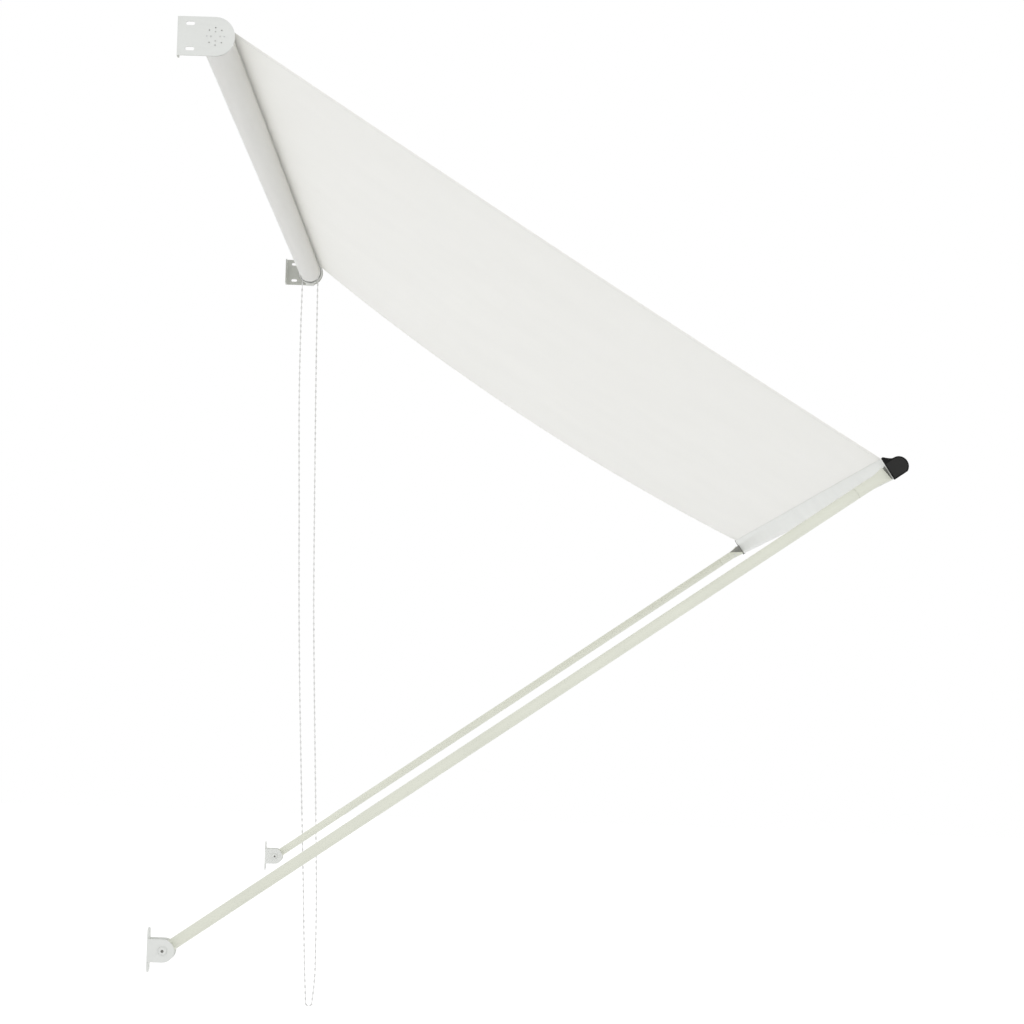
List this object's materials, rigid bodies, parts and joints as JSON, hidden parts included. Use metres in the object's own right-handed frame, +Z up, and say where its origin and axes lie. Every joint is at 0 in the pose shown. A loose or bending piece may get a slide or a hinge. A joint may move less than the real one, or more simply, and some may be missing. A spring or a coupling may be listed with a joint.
{
  "type": "drop arm awning",
  "caption": "Window awning with drop arms: a fabric roller on wall brackets, a sheet down to a front bar, two hinged tube arms, and a bead chain that winds it.",
  "frame": {"origin": "middle of the left upper bracket's wall face, at the height of the roller's axis", "axes": "+X away from the wall, +Y along the awning's width from the left bracket to the right one, +Z up"},
  "size_m": [1.2735, 2.5, 2.0035],
  "materials": {
    "powder_white": "satin off-white powder coat",
    "arm_cream": "satin cream powder coat",
    "canvas": "plain woven polyester, off-white",
    "black_plastic": "moulded black",
    "grey_plastic": "moulded grey",
    "white_plastic": "moulded off-white",
    "chain_plastic": "white beads on a cord",
    "bare_aluminium": "mill finish",
    "zinc_steel": "zinc plated"
  },
  "bodies": {
    "wall_frame": {"upper_bracket_left": "powder_white", "upper_bracket_right": "powder_white", "idler_plate": "white_plastic", "idler_screw_1": "zinc_steel", "idler_screw_2": "zinc_steel", "chain_guard": "white_plastic", "drive_screw_1": "zinc_steel", "drive_screw_2": "zinc_steel", "chain_on_wheel": "chain_plastic", "bead_chain": "chain_plastic", "lower_bracket_left": "powder_white", "lower_bracket_right": "powder_white", "lower_left_bolt": "powder_white", "lower_left_nut": "powder_white", "lower_left_spacer_a": "white_plastic", "lower_left_spacer_b": "white_plastic", "lower_right_bolt": "powder_white", "lower_right_nut": "powder_white", "lower_right_spacer_a": "white_plastic", "lower_right_spacer_b": "white_plastic"},
    "arm_left": {"arm_tube_left": "arm_cream", "arm_fork_left": "arm_cream", "arm_foot_left": "white_plastic", "front_left_pin": "powder_white"},
    "arm_right": {"arm_tube_right": "arm_cream", "arm_fork_right": "arm_cream", "arm_foot_right": "white_plastic", "front_right_pin": "powder_white"},
    "front_bar": {"front_bar": "powder_white", "bar_cap_left": "black_plastic", "bar_cap_right": "black_plastic", "bar_hinge_left": "grey_plastic", "bar_hinge_right": "grey_plastic", "hem_rod": "white_plastic", "awning_fabric": "canvas"},
    "roller": {"roller_tube": "bare_aluminium", "roller_plug": "black_plastic", "fabric_roll": "canvas", "chain_wheel": "white_plastic"}
  },
  "joints": [
    {"name": "arm_left_swing", "type": "hinge", "parent": "wall_frame", "child": "arm_left", "pos_m": [0.0275, 0, -1.567], "axis": [0, -1, 0], "range_deg": [0, 52], "deforming": ["awning_fabric"]},
    {"name": "arm_right_swing", "type": "hinge", "parent": "wall_frame", "child": "arm_right", "pos_m": [0.0275, 0, -1.567], "axis": [0, -1, 0], "range_deg": [0, 52]},
    {"name": "front_bar_pivot", "type": "hinge", "parent": "arm_left", "child": "front_bar", "pos_m": [1.22611, 0, -0.72289], "axis": [0, -1, 0], "range_deg": [-30, 0]},
    {"name": "roller_spin", "type": "hinge", "parent": "wall_frame", "child": "roller", "pos_m": [0.066, 0, 0], "axis": [0, -1, 0], "range_deg": [0, 2400]}
  ],
  "couplings": [
    {"joint": "arm_right_swing", "follows": "arm_left_swing", "ratio": 1},
    {"joint": "front_bar_pivot", "follows": "arm_left_swing", "ratio": -0.565},
    {"joint": "roller_spin", "follows": "arm_left_swing", "ratio": 46}
  ]
}
